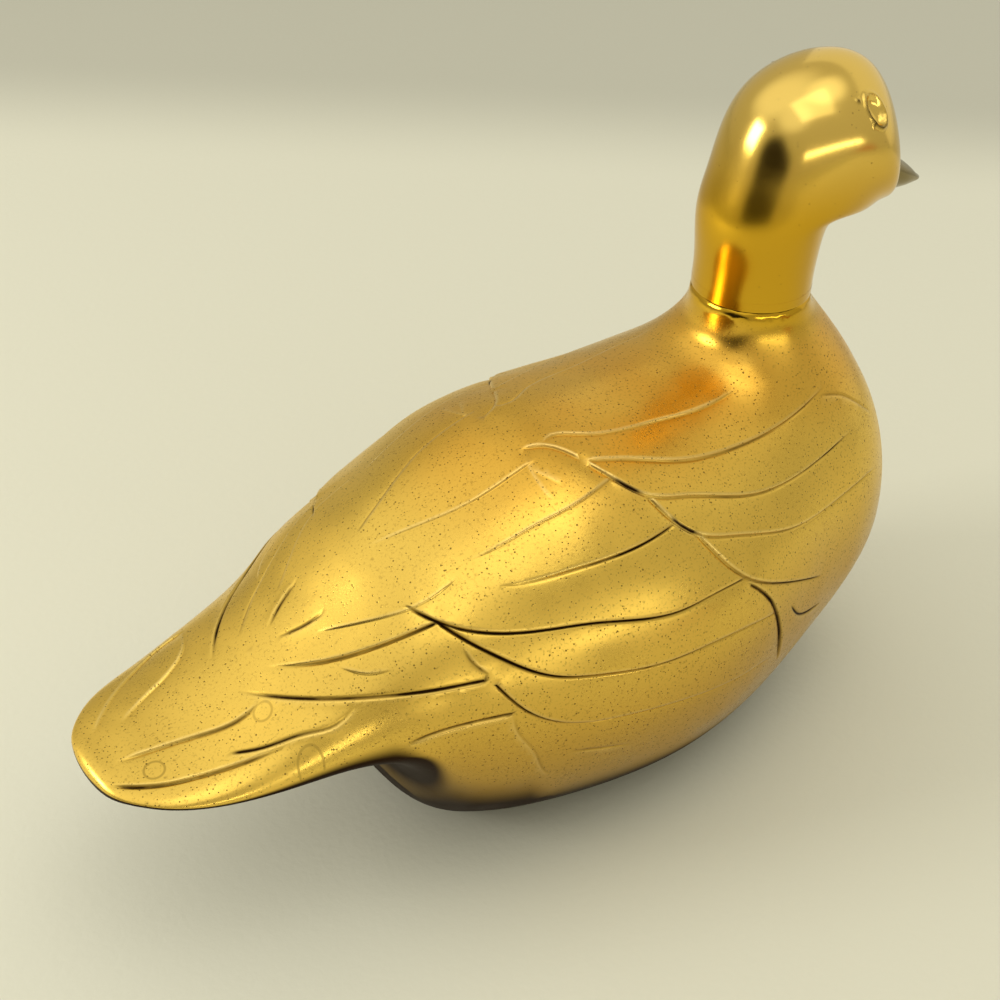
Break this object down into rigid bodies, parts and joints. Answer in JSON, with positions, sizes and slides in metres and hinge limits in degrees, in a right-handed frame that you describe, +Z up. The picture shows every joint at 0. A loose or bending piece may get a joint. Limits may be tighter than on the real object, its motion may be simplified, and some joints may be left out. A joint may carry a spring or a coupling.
{
  "type": "duck figurine",
  "caption": "Hollow cast brass duck ornament with layered wing and tail relief, a polished head and neck brazed on at a ring seam, and felt under its flat base.",
  "frame": {"origin": "on the surface the duck stands on, at the middle of its length from tail to bill and of its width", "axes": "+X towards the bill, +Y towards the duck's left side, +Z up"},
  "size_m": [0.2064, 0.091, 0.1455],
  "materials": {
    "cast_brass": "satin as-cast brass with dark brown patina in the grooves",
    "polished_brass": "mirror polished",
    "braze": "polished filler",
    "felt": "pressed wool felt"
  },
  "bodies": {
    "root": {"body_casting": "cast_brass", "head_casting": "polished_brass", "neck_braze": "braze", "felt_pad": "felt"}
  },
  "joints": []
}
